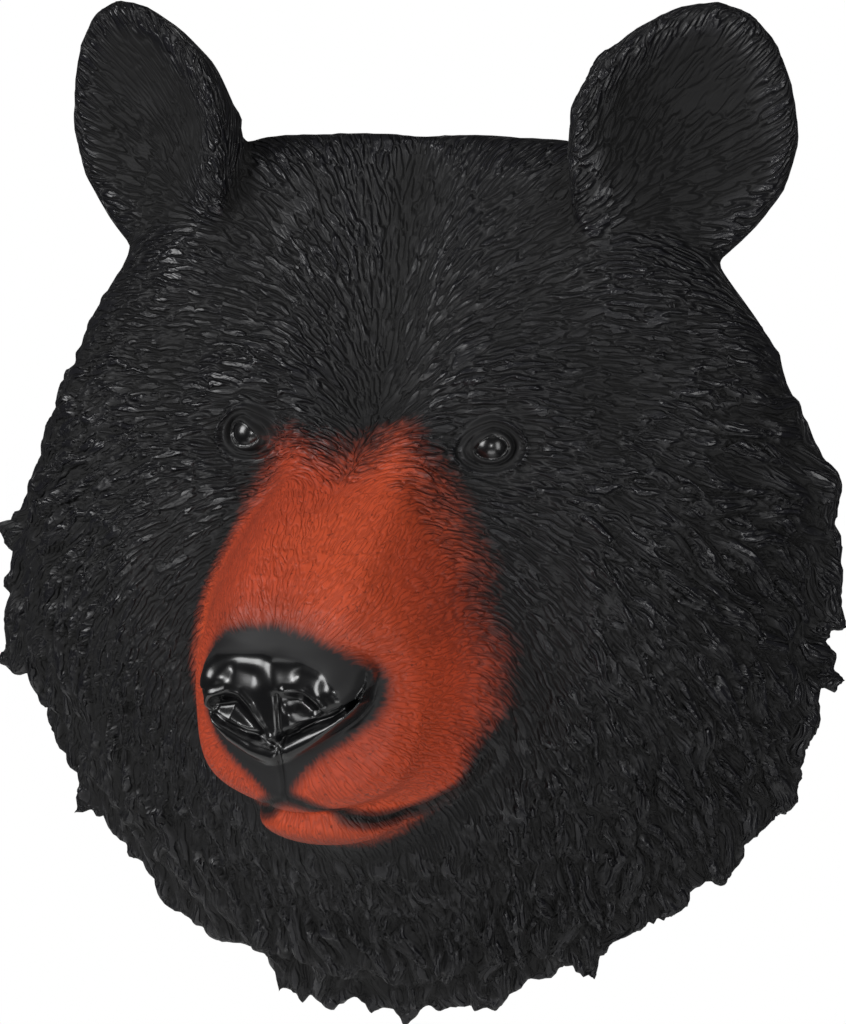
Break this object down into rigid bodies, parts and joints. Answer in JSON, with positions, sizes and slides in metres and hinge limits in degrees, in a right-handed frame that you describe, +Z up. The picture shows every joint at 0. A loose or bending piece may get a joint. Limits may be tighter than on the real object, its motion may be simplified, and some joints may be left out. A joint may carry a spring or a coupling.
{
  "type": "bear head wall sculpture",
  "caption": "Cast bear head in high relief with carved fur, painted muzzle and glossy nose, flat at the back to hang on a wall.",
  "frame": {"origin": "a point of the flat back near its middle, on the wall", "axes": "+Y into the wall, so the bear looks along -Y; +Z up; +X to the viewer's right"},
  "size_m": [0.3307, 0.161, 0.3731],
  "materials": {
    "painted_resin": "cast resin in satin black paint, with an orange-brown airbrushed muzzle and a glossy black nose and eyes"
  },
  "bodies": {
    "root": {"bear_head": "painted_resin"}
  },
  "joints": []
}
